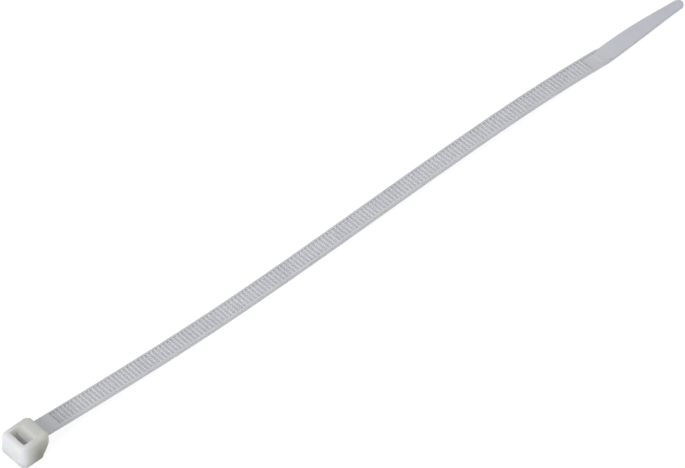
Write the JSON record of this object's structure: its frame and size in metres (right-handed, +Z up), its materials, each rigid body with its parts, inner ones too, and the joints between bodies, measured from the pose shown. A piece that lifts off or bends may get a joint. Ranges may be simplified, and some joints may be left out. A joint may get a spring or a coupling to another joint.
{
  "type": "cable tie",
  "caption": "Slim self-locking cable tie of natural nylon: a pawl head with a slot, a toothed ladder strap and a tapered tail.",
  "frame": {"origin": "on the strap's path through the slot, where that path leaves the flat base of the head, in the plane that the tie lies on", "axes": "+X from the head along the strap to the tail, +Y across the strap, +Z up on the toothed side"},
  "size_m": [0.1906, 0.0088, 0.005],
  "materials": {
    "natural_nylon": "natural, undyed nylon 6/6 as moulded: milky and slightly see-through, cool grey-white where thin, creamier in the head, with a soft sheen"
  },
  "bodies": {
    "root": {"cable_tie": "natural_nylon"}
  },
  "joints": []
}
